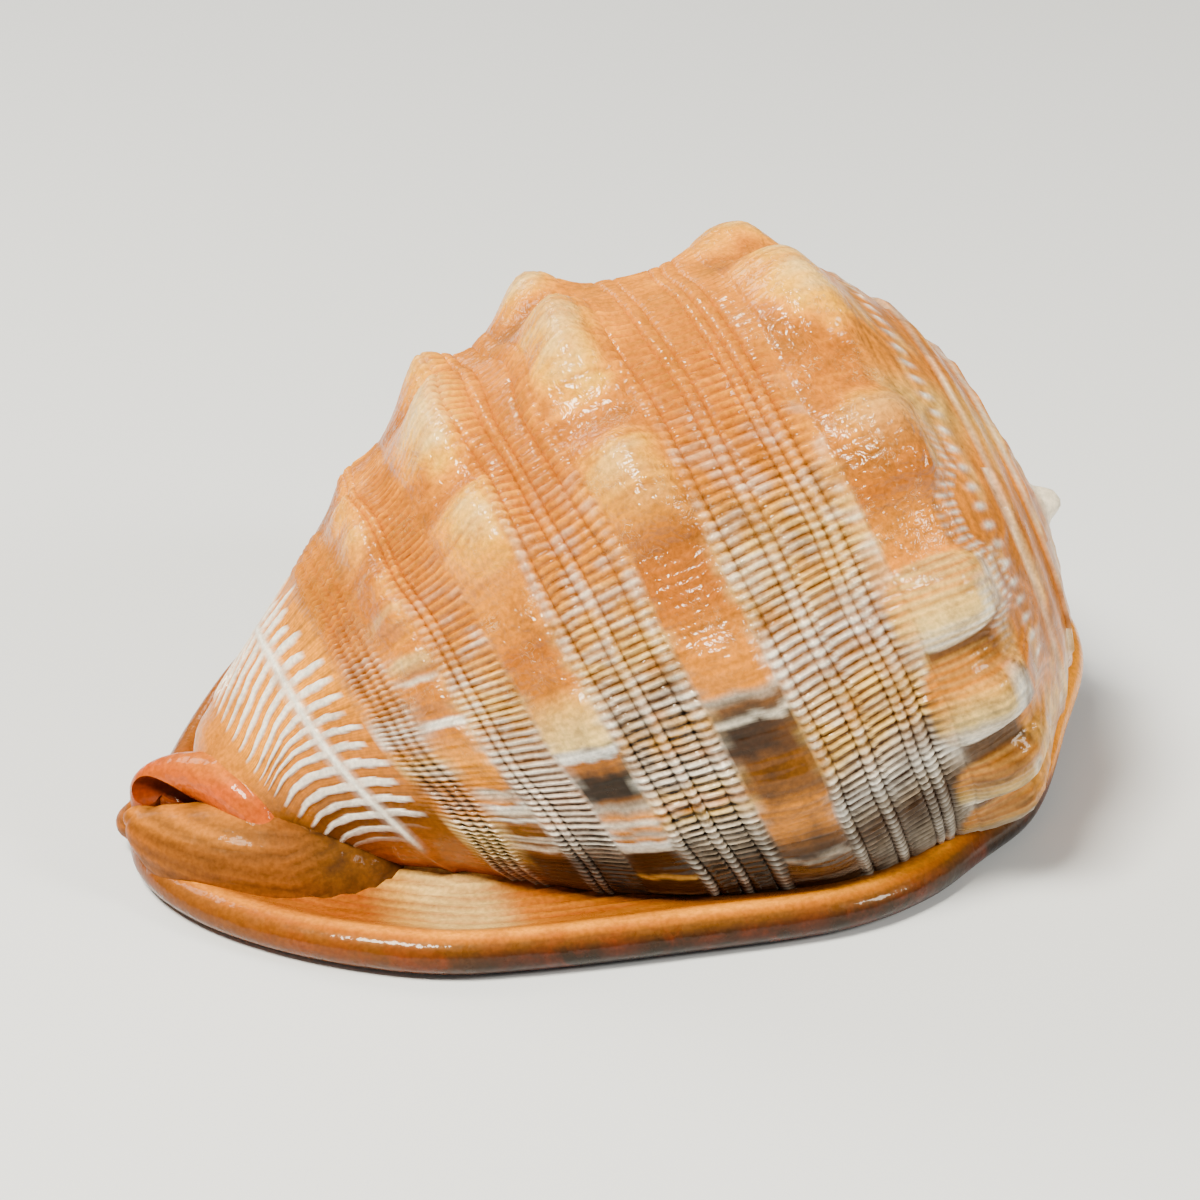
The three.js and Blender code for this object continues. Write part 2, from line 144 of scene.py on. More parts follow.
# Heights of the fine relief, in millimetres.
RIBLET_HEIGHT, CORD_HEIGHT, GROOVE_DEPTH = 0.58, 0.24, 0.4
THREAD_HEIGHT, BEAD_HEIGHT, KEEL_HEIGHT, RIB_HEIGHT = 0.2, 0.5, 0.75, 0.55
SCALLOP_HEIGHT, SMALL_KNOB_HEIGHT, NODULE_HEIGHT = 1.2, 1.1, 0.9

# How a growth line leans as it runs along the coil: degrees towards the outer lip.
GROWTH_LINE = [(20, 1.5), (40, 1.6), (61, -0.6), (70, 0), (92, 0), (100, 2.2), (106, 4.6), (111, 7.5),
               (117, 12.5), (119, 13), (122.5, 15), (125.5, 13.5), (128, 9.5), (130, 6), (136, 2)]


def smooth(x, a, b):
    """A soft step from 0 at a to 1 at b."""
    t = np.clip((x - a) / (b - a), 0, 1)
    return t * t * (3 - 2 * t)


def fall(x, a, b):
    """A soft step from 1 at a to 0 at b."""
    return 1 - smooth(x, a, b)


def between(x, a, b, soft=0.4):
    """1 between a and b, with soft edges to 0."""
    return smooth(x, a - soft, a + soft) * fall(x, b - soft, b + soft)


def bell(x):
    return np.exp(-np.square(x))


def dome(x):
    """A bell with a flatter top and steeper sides."""
    return np.exp(-np.square(np.square(x)))


def swing(x):
    """A wave between 0 and 1, with its tops at whole numbers."""
    return 0.5 + 0.5 * np.cos(2 * math.pi * x)


def curve(points, x, column=1):
    """A smooth curve through a list of points, read as a value of one column at x."""
    p = np.asarray(points, float)
    x = np.asarray(x, float)
    n = len(p)
    low, high = np.maximum(np.arange(n) - 1, 0), np.minimum(np.arange(n) + 1, n - 1)
    slope = (p[high, column] - p[low, column]) / (p[high, 0] - p[low, 0])
    i = np.clip(np.searchsorted(p[:, 0], x) - 1, 0, n - 2)
    span = p[i + 1, 0] - p[i, 0]
    u = np.clip((x - p[i, 0]) / span, 0, 1)
    rest = 1 - u
    return ((1 + 2 * u) * rest * rest * p[i, column] + u * rest * rest * span * slope[i]
            + u * u * (3 - 2 * u) * p[i + 1, column] - u * u * rest * span * slope[i + 1])


def hashed(index, seed=0.0):
    """A settled value between 0 and 1 for each whole number."""
    value = np.sin(np.asarray(index, float) * 12.9898 + seed * 78.233) * 43758.5453
    return value - np.floor(value)


def wander(x, seed=0.0):
    """A smooth settled wave between 0 and 1 along one coordinate."""
    low = np.floor(x)
    t = smooth(x - low, 0, 1)
    return hashed(low, seed) * (1 - t) + hashed(low + 1, seed) * t


def patches(x, y, seed=0.0):
    """A smooth settled pattern between 0 and 1 over two coordinates."""
    row = np.floor(y)
    t = smooth(y - row, 0, 1)
    return wander(x + row * 7.31, seed) * (1 - t) + wander(x + (row + 1) * 7.31, seed) * t


# The whorl's form.

def crest(angle, lean=0.0):
    """How far a place is on a knob's angle, from 0 between knobs to 1."""
    total = 0
    for i, place in enumerate(KNOB_ANGLES):
        apart = KNOB_ANGLES[max(i, 1)] - KNOB_ANGLES[max(i, 1) - 1]
        centre = place + lean * math.exp(-((place - LEAN_ANGLE) / LEAN_HALF) ** 2)
        total = total + dome((angle - centre) / (apart * KNOB_HALF))
    return total


def knobs(angle, along):
    """The height of the rows of knobs, in millimetres."""
    height = 0
    for row in KNOB_ROWS:
        d = along - curve(list(zip(KNOB_SIDES, row["along"])), angle)
        rise = curve(list(zip(KNOB_SIDES, row["height"])), angle)
        side = np.where(d < 0, row["steep"], row["fade"])
        height = height + rise * bell(d / side) * crest(angle, row["lean"])
    return height


def scallop(line, along):
    """How far a place is from the middle of its scallop, 1 at the edge, and its share of the way across."""
    shape = np.broadcast(line, along).shape
    far, across = np.full(shape, 9.0), np.zeros(shape)
    for middle, half in SCALLOPS:
        u = (line - middle) / half
        d = (np.abs(u) ** 3 + np.abs((along - SCALLOP_MIDDLE) / SCALLOP_HALF) ** 3) ** (1 / 3)
        across = np.where(d < far, u, across)
        far = np.minimum(far, d)
    return far, across


def lean_at(line, along):
    """Degrees that a growth line stands towards the outer lip at this place along the coil."""
    swept = 9 * smooth(line, 118, 150) * smooth(along, 118.5, 127.5) * fall(along, 128, 136)
    return curve(GROWTH_LINE, along) * (1 - 0.55 * smooth(line, 112, 160)) - swept


def riblet_number(line):
    """A growth line's place counted in riblets, which stand further apart on the far side."""
    far = FAR_FROM / RIBLET_PITCH + (line - FAR_FROM) / FAR_PITCH
    return np.where(line < FAR_FROM, line / RIBLET_PITCH, far)


def shoulder(angle):
    """Where the knobs of the first row meet the ramp below the spire."""
    return 29.3 - 3.3 * crest(angle) * smooth(angle, 60, 90)


def band_mask(along):
    return sum(between(along, a, b, 0.3) for a, b in BANDS)


def groove_mask(along):
    """The grooves, shallower at the edges of the bands."""
    return sum((0.45 if g in BAND_EDGES else 1) * np.clip(1 - np.abs(along - g) / GROOVE_HALF, 0, 1)
               for g in GROOVES)


def cord_mask(along):
    """The narrow beaded cords between close grooves."""
    return sum(bell((along - c) / 0.62) for c in CORDS)


def bend(angle, along):
    """How far the bands and their grooves wander along the coil, in millimetres."""
    much = between(along, 37, 113, 3) * (0.7 + 0.9 * smooth(angle, 140, 190))
    return much * (patches(angle / 15, along / 12, 7) - 0.5) * 1.6


def riblet_wave(line, along):
    """Riblets of uneven strength, from 0 between them to 1."""
    uneven = line + 0.9 * (wander(line / 6, 13) - 0.5) + 0.35 * (wander(along / 1.4, 17) - 0.5)
    return swing(riblet_number(uneven)) * (0.62 + 0.6 * patches(line / 2.3, along / 4, 19))


def spire_turn(angle, along):
    """How far a place on the spire is between one suture and the next, from 0 to 1."""
    grown = SUTURE_SHIFT * np.sqrt(curve(GROWTH, angle, 1) * curve(GROWTH, angle, 2))
    turn = np.log(np.maximum(along, 0.5) * grown) / math.log(WHORL_RATIO) - angle / 360
    return turn - np.floor(turn)


def threads(angle, along):
    """Fine threads on the ramp, which bend round the knobs, from 0 to 1, and where they run."""
    reach = along - shoulder(angle) * smooth(along, 14, 27) - 28 * fall(along, 14, 27)
    return swing(reach / THREAD_PITCH), between(along, 12, 60, 2) * (reach < 0.3)


def beads(angle, along, line, long, wide):
    """A row of round beads on the ramp, from 0 to 1."""
    across = np.mod(line, BEAD_PITCH) - BEAD_PITCH / 2
    return bell((along - BEAD_PLACE) / long) * bell(across / wide) * between(angle, 90, 200, 5)


def rib_wave(line):
    """The ribs' even wave, a little uneven on the near side."""
    uneven = line + 1.6 * (wander(line / 8, 23) - 0.5) * fall(line, 124, 140)
    return swing((uneven - RIB_PHASE) / RIB_PITCH)


def ribs(line, along):
    """The white ribs beside the keel, from 0 between them to 1, narrower towards their ends."""
    wave = rib_wave(line + 0.8 * (wander(along, 21) - 0.5))
    index = np.round((line - RIB_PHASE) / RIB_PITCH)
    dash_end = 112 + 2.6 * hashed(index, 3)
    dashes = between(along, dash_end, 117.6, 0.3) * smooth(line, 88, 98)
    arcs = between(along, 118.9, 127.6, 0.3) * smooth(line, 78, 94)
    limit = 0.47 + 0.33 * smooth(along, 123.5, 127.6) + 0.25 * fall(along, dash_end, 115.5)
    return smooth(wave, limit, limit + 0.2) * (dashes + arcs)


def relief(angle, along, line):
    """Everything raised above the whorl's smooth form, in millimetres."""
    wave = riblet_wave(line, along)
    height = knobs(angle, along)
    bands = band_mask(along)
    worn = 1 - 0.4 * smooth(line, 165, 195)
    first = 0.4 + 0.6 * smooth(along, 39, 43)
    cords = CORD_HEIGHT * cord_mask(along) - CORD_HEIGHT
    height = height + worn * bands * (RIBLET_HEIGHT * wave * first + cords)
    for place in SMALL_KNOBS:
        knob = bell((along - SMALL_KNOB_PLACE) / 2.4) * dome((line - place) / 3.6)
        height = height + SMALL_KNOB_HEIGHT * knob
    height = height - worn * GROOVE_DEPTH * groove_mask(along) * between(along, 38, 112, 0.5)
    rows = between(along, 26, 112, 1) * (1 - bands)
    height = height + 0.12 * rows * (wave - 0.5) + 0.12 * rows * (patches(angle / 1.6, along / 1.3, 29) - 0.5)
    thread, ramp = threads(angle, along)
    height = height + THREAD_HEIGHT * ramp * thread
    height = height + BEAD_HEIGHT * beads(angle, along, line, 0.8, 0.9)
    height = height + KEEL_HEIGHT * bell((along - KEEL) / 0.75)
    height = height + RIB_HEIGHT * ribs(line, along) - 0.15 * between(along, 112, 127.8, 0.6)
    far, _ = scallop(line, along)
    crisp = fall(angle, 118, 126)
    height = height + SCALLOP_HEIGHT * crisp * fall(far, 0.3, 1.15)
    height = height - 0.3 * crisp * bell((far - 1.12) / 0.1)
    spire = fall(along, 14, 20) * np.clip((along - 4) / 6, 0, 1)
    turn = spire_turn(angle, along)
    step = smooth(turn, 0.05, 0.75) - smooth(turn, 0.86, 1) - 0.5
    nodule = bell((turn - 0.72) / 0.14) * swing(angle / 16)
    height = height + spire * (SUTURE_DEPTH * step + NODULE_HEIGHT * nodule)
    soft = patches(angle / 6, along / 5, 3) - 0.5
    return height + 0.35 * soft * smooth(along, 10, 20) * fall(along, 118, 128)


def coil_point(angle, along, height):
    """The point at each angle, place along the coil and height above its smooth form."""
    across = (curve(BACK_PROFILE, along) + height) * curve(GROWTH, angle, 1)
    down = along * curve(GROWTH, angle, 2)
    turn = np.radians(angle)
    return (SPIRE_TIP + down[..., None] * ALONG_AXIS - (np.cos(turn) * across)[..., None] * TOWARD_BACK
            + (np.sin(turn) * across)[..., None] * TOWARD_NEAR)


def coil_place(points):
    """The angle and place along the coil of each point."""
    reach = points - SPIRE_TIP
    down = reach @ ALONG_AXIS
    back, near = reach @ TOWARD_BACK, reach @ TOWARD_NEAR
    angle = np.mod(np.degrees(np.arctan2(near, -back)), 360)
    return angle, down / curve(GROWTH, angle, 2)


def line_of(angle, along):
    """The growth line that passes a place, named by its angle at 70 mm along."""
    line = angle
    for _ in range(8):
        line = angle - lean_at(line, along)
    return line


# Meshes in millimetres.

def make_material(name):
    material = bpy.data.materials.new(name)
    material.use_nodes = True
    return material


# Each material's roughness, gloss coat and mottling.
FINISHES = {
    "whorl": (0.34, 0.22, 0.65), "callus": (0.3, 0.3, 0.5), "canal": (0.45, 0.06, 0.4),
    "lip": (0.3, 0.3, 0.3), "inside": (0.35, 0.2, 0.5), "tooth": (0.22, 0.5, 0.3),
}
GLAZE = {"Coat Roughness": 0.05, "IOR": 1.5, "Specular IOR Level": 0.12, "Specular Tint": (1, 0.8, 0.5, 1)}
WORN_COAT = 0.5
GLINT_COLOUR = (0.9, 0.66, 0.32, 1)
BUMP_STRENGTH, BUMP_DISTANCE = 0.6, 0.0004
MATERIALS = {name: make_material(name) for name in FINISHES}


def add_object(name, data):
    obj = bpy.data.objects.new(name, data)
    bpy.context.scene.collection.objects.link(obj)
    return obj


def read(items, key, width=1, kind=np.int32):
    """One attribute of a mesh's items as an array."""
    values = np.empty(len(items) * width, kind)
    items.foreach_get(key, values)
    return values


def unit(vectors):
    return vectors / np.linalg.norm(vectors, axis=-1, keepdims=True)


def mesh_object(name, points, faces, material):
    """A closed mesh with one material, its faces turned outwards."""
    mesh = bpy.data.meshes.new(name)
    mesh.from_pydata([tuple(p) for p in points], [], faces)
    mesh.materials.append(MATERIALS[material])
    mesh.validate()
    obj = add_object(name, mesh)
    mesh.calc_loop_triangles()
    tris = read(mesh.loop_triangles, "vertices", 3).reshape(-1, 3)
    a, b, c = (np.asarray(points, float)[tris[:, k]] for k in range(3))
    volume = np.einsum("ij,ij->i", a, np.cross(b, c)).sum()
    if volume < 0:
        mesh.flip_normals()
    return obj


def rings_object(name, rings, material):
    """A closed solid from rings of points, with a point in the middle of each end."""
    rings = [np.asarray(r, float) for r in rings]
    count = len(rings[0])
    points = np.concatenate(rings + [rings[0].mean(0)[None], rings[-1].mean(0)[None]])
    k = np.arange(count)
    nxt = (k + 1) % count
    faces = []
    for r in range(len(rings) - 1):
        low = r * count
        faces += np.stack([low + k, low + nxt, low + count + nxt, low + count + k], 1).tolist()
    first, last = len(rings) * count, (len(rings) - 1) * count
    faces += np.stack([np.full(count, first), nxt, k], 1).tolist()
    faces += np.stack([np.full(count, first + 1), last + k, last + nxt], 1).tolist()
    return mesh_object(name, points, faces, material)


def catmull(points, samples, closed=False):
    """Points along a smooth curve, evenly spaced between its own points."""
    p = np.asarray(points, float)
    n = len(p)
    t = np.asarray(samples) * (n if closed else n - 1)
    i = np.floor(t).astype(int)
    if not closed:
        i = np.clip(i, 0, n - 2)
    u = (t - i)[:, None]
    if closed:
        a, b, c, d = (p[(i + k) % n] for k in (-1, 0, 1, 2))
    else:
        wide = np.concatenate([[2 * p[0] - p[1]], p, [2 * p[-1] - p[-2]]])
        a, b, c, d = (wide[i + k] for k in range(4))
    bowed = (2 * a - 5 * b + 4 * c - d) * u * u + (3 * b - a - 3 * c + d) * u ** 3
    return 0.5 * (2 * b + (c - a) * u + bowed)


def bar(name, stations, material, sides=28, steps=40):
    """A round bar through a list of places, with rounded ends."""
    path = catmull(stations, np.linspace(0, 1, steps + 1))
    centre, radius = path[:, :3], path[:, 3]
    run = unit(np.gradient(centre, axis=0))
    side = unit(np.cross(run, [0.1, 0.2, 1.0]))
    up = np.cross(side, run)
    tip, full, rounds = 0.12, math.pi / 2, 6
    order = ([(0, -math.cos(q), math.sin(q)) for q in np.linspace(tip, full, rounds, endpoint=False)]
             + [(i, 0, 1) for i in range(steps + 1)]
             + [(steps, math.cos(q), math.sin(q)) for q in np.linspace(full, tip, rounds + 1)[1:]])
    turn = np.linspace(0, 2 * math.pi, sides, endpoint=False)
    rings = []
    for i, ahead, wide in order:
        r = radius[i] * wide
        rings.append(centre[i] + run[i] * ahead * radius[i] * 0.8
                     + side[i] * (np.cos(turn) * r)[:, None] + up[i] * (np.sin(turn) * r)[:, None])
    return rings_object(name, rings, material)


def whorl():
    """The last whorl and the spire, on a grid that follows the growth lines."""
    stations = [*SPIRE_RINGS, *np.arange(8.9, 26, 0.8), *np.arange(26, 38.5, 0.85)]
    for g in GROOVES:
        stations += [g - GROOVE_HALF, g, g + GROOVE_HALF] if g < SINGLE_FROM else [g]
    for a, b in zip(GROOVES, GROOVES[1:]):
        gap = b - a - 2 * GROOVE_HALF
        pieces = int(round(gap / 1.5)) if gap > 1 else 0
        stations += [a + GROOVE_HALF + gap * (k + 1) / (pieces + 1) for k in range(pieces)]
        if a > SINGLE_FROM:
            stations.append((a + b) / 2)
    stations += [*np.arange(112.3, 117.4, 0.9), *KEEL_RINGS, *np.arange(119.8, 128.6, 0.85), *END_RINGS]
    near = np.arange(math.ceil(SHOWN_FROM / RIBLET_PITCH) * RIBLET_SAMPLES,
                     math.floor(FAR_FROM / RIBLET_PITCH) * RIBLET_SAMPLES)
    lines = list(near * RIBLET_PITCH / RIBLET_SAMPLES)
    far = np.arange(0, int((SHOWN_TO - FAR_FROM) / FAR_PITCH) * FAR_SAMPLES)
    start = math.floor(FAR_FROM / RIBLET_PITCH) * RIBLET_PITCH
    lines += list(start + far * FAR_PITCH / FAR_SAMPLES)
    gap = lines[0] + 360 - lines[-1]
    lines = np.array(lines + [lines[-1] + gap * (k + 1) / (HIDDEN_LINES + 1) for k in range(HIDDEN_LINES)])
    rings = []
    for along in sorted(stations):
        angle = lines + lean_at(lines, along)
        place = np.mod(angle, 360)
        a = np.full_like(place, along)
        height = relief(place, a, np.mod(lines, 360))
        rings.append(coil_point(place, a + bend(place, a), height))
    return rings_object("whorl", rings, "whorl")


def thickness(p):
    """The rim's thickness, which grows towards the outer lip at the back."""
    plain = PLAIN_RIM + BACK_RISE * smooth(p[:, 1], -12, 45)
    front = smooth(-p[:, 0], 40, 68)
    return plain * (1 - front) + FRONT_RIM * front


def shield():
    """The shield and outer lip: the underside, the rolled rim and the trough inside it."""
    edge = catmull(RIM, np.linspace(0, 1, RIM_STEPS, endpoint=False), closed=True)
    turn = np.arange(RIM_STEPS) * 2 * math.pi / RIM_STEPS

    def ring(inset, height):
        """One ring inside the rim, lifted towards the spire end."""
        out = edge - RIM_HEART
        reach = np.linalg.norm(out, axis=1)
        p = RIM_HEART + out * ((reach - inset) / reach)[:, None]
        return np.column_stack([p, height + 6.5 * smooth(p[:, 0], 56, 82)])

    def top(inset):
        """One ring of the trough, with fine lamellae."""
        level = np.maximum(curve(TROUGH, inset), (thick - PLAIN_RIM) * fall(inset, 9, 20))
        drift = 0.9 * np.sin(turn * 3 + 0.7) + 0.7 * patches(turn * 6, inset / 7, 3)
        return ring(inset, level + LAMELLA_HEIGHT * np.cos(2 * math.pi * (inset / LAMELLA_PITCH + drift)))

    thick = thickness(edge)
    rings = ([ring(inset, np.full(RIM_STEPS, level)) for inset, level in UNDERSIDE]
             + [ring(inset, thick * part) for inset, part in ROLLED_RIM]
             + [top(inset) for inset in np.arange(TROUGH_START, TROUGH_END, TROUGH_STEP)])
    return rings_object("shield", rings, "callus")


def hollow():
    """The hollow that winds once round the column."""
    rings = []
    for angle in np.linspace(HOLLOW_FIRST, HOLLOW_LAST, 49):
        wide = math.sqrt(min(max((angle - 34) / 90, 0), 1))
        out = np.linspace(HOLLOW_START, HOLLOW_END, 17)
        back = out[::-2]
        profile = curve(BACK_PROFILE, out)
        reach = COLUMN + np.maximum(profile - WALL - COLUMN, 1.5) * wide
        along = np.concatenate([out, back])
        height = np.concatenate([reach, np.full(len(back), COLUMN - 1.0)]) - curve(BACK_PROFILE, along)
        rings.append(coil_point(np.full(len(along), angle), along, height))
    return rings_object("hollow", rings, "inside")


def slit():
    """The long narrow opening underneath."""
    share = np.linspace(0, 1, 49)
    path = catmull(SLIT, share)
    run = unit(np.gradient(path, axis=0))
    half = SLIT_WIDTH / 2 * np.minimum(1, np.sqrt(0.25 + np.minimum(share, 1 - share) * 18))
    sideways = np.column_stack([-run[:, 1], run[:, 0]]) * half[:, None]
    outline = np.concatenate([path + sideways, (path - sideways)[::-1]])
    rings = [np.column_stack([outline, np.full(len(outline), z)]) for z in (-5, SLIT_TOP)]
    return rings_object("slit", rings, "inside")


def teeth():
    """A row of rounded teeth along each side of the slit."""
    made = []
    dense = catmull(SLIT, np.linspace(0, 1, 400))
    length = np.concatenate([[0], np.cumsum(np.linalg.norm(np.diff(dense, axis=0), axis=1))])
    length /= length[-1]
    turn = np.linspace(0, 2 * math.pi, 12, endpoint=False)
    for count, sign in ((TEETH_LIP, -1), (TEETH_COLUMN, 1)):
        for i in range(count):
            at = int(np.searchsorted(length, (i + 0.7) / (count + 0.4)))
            run = unit(dense[min(at + 1, len(dense) - 1)] - dense[at - 1])
            out = np.array([-run[1], run[0]]) * sign
            size = 0.85 + 0.3 * float(hashed(i, count))
            reach = SLIT_WIDTH / 2 - TOOTH_PROUD + TOOTH_LONG / 2
            centre = np.array([*(dense[at] + out * reach), TOOTH_MIDDLE])
            rings = []
            for q in np.linspace(0.15, math.pi - 0.15, 9):
                across = math.sin(q)
                rings.append(centre + np.array([*out, 0]) * (-math.cos(q)) * TOOTH_LONG / 2
                             + np.outer(np.cos(turn) * across * TOOTH_WIDE / 2 * size, [*run, 0])
                             + np.outer(np.sin(turn) * across * TOOTH_HIGH, [0, 0, 1]))
            made.append(rings_object("tooth", rings, "tooth"))
    return made


def combine(obj, other, operation):
    """Joins or cuts one closed mesh with another, and deletes the other."""
    step = obj.modifiers.new("step", "BOOLEAN")
    step.operation = operation
    step.solver = "MANIFOLD"
    step.object = other
    step.material_mode = "TRANSFER"
    graph = bpy.context.evaluated_depsgraph_get()
    mesh = bpy.data.meshes.new_from_object(obj.evaluated_get(graph), depsgraph=graph)
    obj.modifiers.clear()
    old = obj.data
    obj.data = mesh
    bpy.data.meshes.remove(old)
    spare = other.data
    bpy.data.objects.remove(other)
    bpy.data.meshes.remove(spare)
    return obj


def box_above(level):
    """A large box that stands on one level."""
    size = 200
    corners = [(x, y, z) for x in (-size, size) for y in (-size, size) for z in (level, level + size)]
    faces = [(0, 1, 3, 2), (4, 6, 7, 5), (0, 4, 5, 1), (2, 3, 7, 6), (0, 2, 6, 4), (1, 5, 7, 3)]
    return mesh_object("room", corners, faces, "inside")


def build_shell():
    """The coil and the shield in one closed mesh, hollowed and opened, with its teeth."""
    coil = whorl()
    coil = combine(coil, bar("beak", BEAK, "canal", 60, 40), "UNION")
    coil = combine(coil, bar("lip_wall", LIP_WALL, "lip", 28, 30), "UNION")
    coil = combine(coil, bar("curled_lip", CURLED_LIP, "lip", 32, 40), "UNION")
    coil = combine(coil, box_above(COIL_FOOT), "INTERSECT")
    base = shield()
    base = combine(base, bar("front_nub", FRONT_NUB, "canal", 20, 16), "UNION")
    base = combine(base, bar("back_nub", BACK_NUB, "canal", 20, 16), "UNION")
    base = combine(base, box_above(0), "INTERSECT")
    shell = combine(coil, base, "UNION")
    shell = combine(shell, combine(hollow(), box_above(FLOOR), "INTERSECT"), "DIFFERENCE")
    shell = combine(shell, slit(), "DIFFERENCE")
    shell = combine(shell, bar("channel", CHANNEL, "inside"), "DIFFERENCE")
    for tooth in teeth():
        shell = combine(shell, tooth, "UNION")
    return shell


# The colours, by name, as they show in strong light.
PALETTE = {
    "white": (255, 252, 240), "bone": (244, 234, 212), "cream": (252, 228, 184), "sand": (236, 204, 158),
    "gold": (242, 200, 90), "straw": (251, 217, 114), "peach": (238, 190, 112), "tan": (224, 176, 96),
    "honey": (212, 160, 80), "rust": (200, 142, 72), "chestnut": (174, 122, 78), "brown": (156, 112, 66),
    "umber": (104, 70, 46), "soot": (66, 45, 32), "ash": (204, 190, 172), "slate": (136, 106, 82),
    "orange": (226, 144, 70), "ember": (186, 98, 44), "wine": (96, 36, 24),
}
BRIGHTNESS = np.array([0.3, 0.6, 0.1])


def linear(name):
    """A palette colour as a surface colour, deeper where it is bright, to hold its hue in strong light."""
    c = np.array(PALETTE[name]) / 255
    rich = smooth(1 - c.min() / c.max(), 0.12, 0.5)
    c = np.where(c <= 0.04045, c / 12.92, ((c + 0.055) / 1.055) ** 2.4)
    light = c @ BRIGHTNESS
    hue = (c / light) ** (1 + 2.2 * light * rich)
    hue = hue / (hue @ BRIGHTNESS)
    hue = hue * np.array([1, 1, 1 - 0.85 * rich * smooth(light, 0.1, 0.35)])
    return np.minimum(0.95 * light ** 1.6 * hue, 0.88)


def painted(stops, x):
    """Colours at x along a row of places, each with its colour's name."""
    colours = np.array([linear(name) for name in stops.values()])
    return np.stack([np.interp(x, list(stops), colours[:, k]) for k in range(3)], -1)


def mixed(a, b, share):
    """One colour turned towards another. Each is an array of colours or a name."""
    a, b = (linear(c) if isinstance(c, str) else c for c in (a, b))
    return a + (b - a) * np.clip(share, 0, 1)[..., None]


# Colours round the whorl by growth line: each band's middle, its ribs and the gaps between its ribs.
BAND_PAINT = [
    (50,
     {66: "ash", 76: "slate", 80: "ash", 85: "white", 90: "bone", 95: "cream", 104: "cream", 109: "bone",
      114: "white", 122: "cream", 130: "cream", 142: "gold", 200: "gold", 240: "tan"},
     {90: "umber", 105: "brown", 136: "brown", 155: "rust", 175: "honey", 190: "tan", 240: "rust",
      300: "brown"}),
    (77.7,
     {78: "slate", 84: "ash", 89: "bone", 92: "cream", 94: "tan", 97: "cream", 100: "white", 104: "bone",
      108: "sand", 114: "bone", 124: "cream", 140: "gold", 200: "gold", 300: "tan"},
     {112: "soot", 124: "brown", 138: "chestnut", 155: "rust", 190: "honey", 300: "brown"}),
    (96.2,
     {80: "slate", 86: "ash", 88: "white", 104: "white", 116: "bone", 124: "cream", 140: "gold",
      200: "gold", 300: "tan"},
     {84: "soot", 104: "umber", 122: "brown", 136: "chestnut", 155: "rust", 190: "rust", 300: "brown"}),
    (108.6,
     {50: "brown", 72: "tan", 80: "sand", 84: "cream", 92: "cream", 97: "tan", 106: "tan", 112: "cream",
      118: "gold", 121: "white", 127: "bone", 131: "gold", 200: "gold", 300: "tan"},
     {50: "umber", 70: "soot", 112: "umber", 122: "brown", 140: "chestnut", 160: "rust", 300: "brown"}),
]
# The same for the rows of knobs between them, with each row's two edges.
ROW_PAINT = [
    (26, 39.2, {
        82.5: "slate", 100.5: "brown", 104: "brown", 117: "sand", 118: "peach", 125: "tan", 131: "rust",
        138: "honey", 147: "tan", 160: "gold", 240: "tan", 300: "honey"}),
    (60.6, 71, {
        63: "slate", 65: "ash", 67: "slate", 73: "slate", 74: "ash", 76: "umber", 79: "brown", 84: "tan",
        90: "tan", 93: "brown", 98: "brown", 101: "umber", 106: "umber", 107: "bone", 108.5: "slate",
        110: "brown", 111.5: "ash", 113: "tan", 120: "tan", 128: "rust", 138: "rust", 150: "tan",
        165: "gold", 200: "gold", 240: "tan", 300: "honey"}),
    (84.4, 92.3, {
        66: "slate", 68.5: "ash", 70: "umber", 75.2: "soot", 76: "sand", 77.2: "umber", 84.6: "soot",
        85.4: "bone", 88: "white", 89: "tan", 90.5: "ash", 92: "tan", 93.5: "bone", 95: "tan", 97: "ash",
        98.5: "brown", 99.5: "soot", 104.5: "soot", 106: "brown", 108.8: "honey", 109.4: "white",
        111.2: "white", 112.2: "cream", 118: "sand", 123: "honey", 132: "rust", 137: "tan", 150: "gold",
        205: "gold", 240: "tan", 300: "honey"}),
    (100.2, 105.8, {
        70: "slate", 80: "umber", 84: "brown", 85.5: "bone", 87: "brown", 89: "bone", 90: "brown",
        94.5: "brown", 95.3: "white", 96: "brown", 98: "bone", 100: "white", 101: "tan", 104: "bone",
        105: "tan", 112: "gold", 122: "honey", 123.2: "white", 124.6: "white", 125.6: "honey",
        134: "honey", 135: "bone", 136.4: "honey", 140: "cream", 142: "tan", 150: "honey",
        151.4: "cream", 153.5: "tan", 161: "honey", 162: "cream", 164: "tan", 174: "cream",
        178: "gold", 188: "cream", 192: "gold", 240: "tan", 300: "honey"}),
]
RAMP_PAINT = {50: "tan", 70: "sand", 80: "tan", 92: "honey", 122: "honey", 134: "peach", 146: "sand",
              158: "tan", 190: "tan", 230: "honey", 300: "rust"}
FRONT_PAINT = {50: "ember", 75: "rust", 95: "brown", 112: "honey", 130: "tan", 150: "gold", 200: "tan",
               300: "honey"}
END_PAINT = {50: "ember", 90: "brown", 110: "brown", 130: "honey", 160: "tan", 210: "tan", 300: "honey"}
# Colours across each crisp knob near the shield, from edge to edge.
SCALLOP_PAINT = {-1: "ash", -0.8: "bone", -0.6: "bone", -0.35: "cream", 0: "sand", 0.35: "tan",
                 0.75: "honey", 1: "chestnut"}
# Colours of the worn far side, by height over the whorl's smooth form: pale on the knobs as painted highlight
# and brown in the hollows as painted shade.
WORN_LIGHT_AND_SHADE_PAINT = {-0.3: "brown", -0.05: "chestnut", 0.1: "rust", 0.22: "honey", 0.36: "gold", 0.62: "straw",
              1: "cream"}
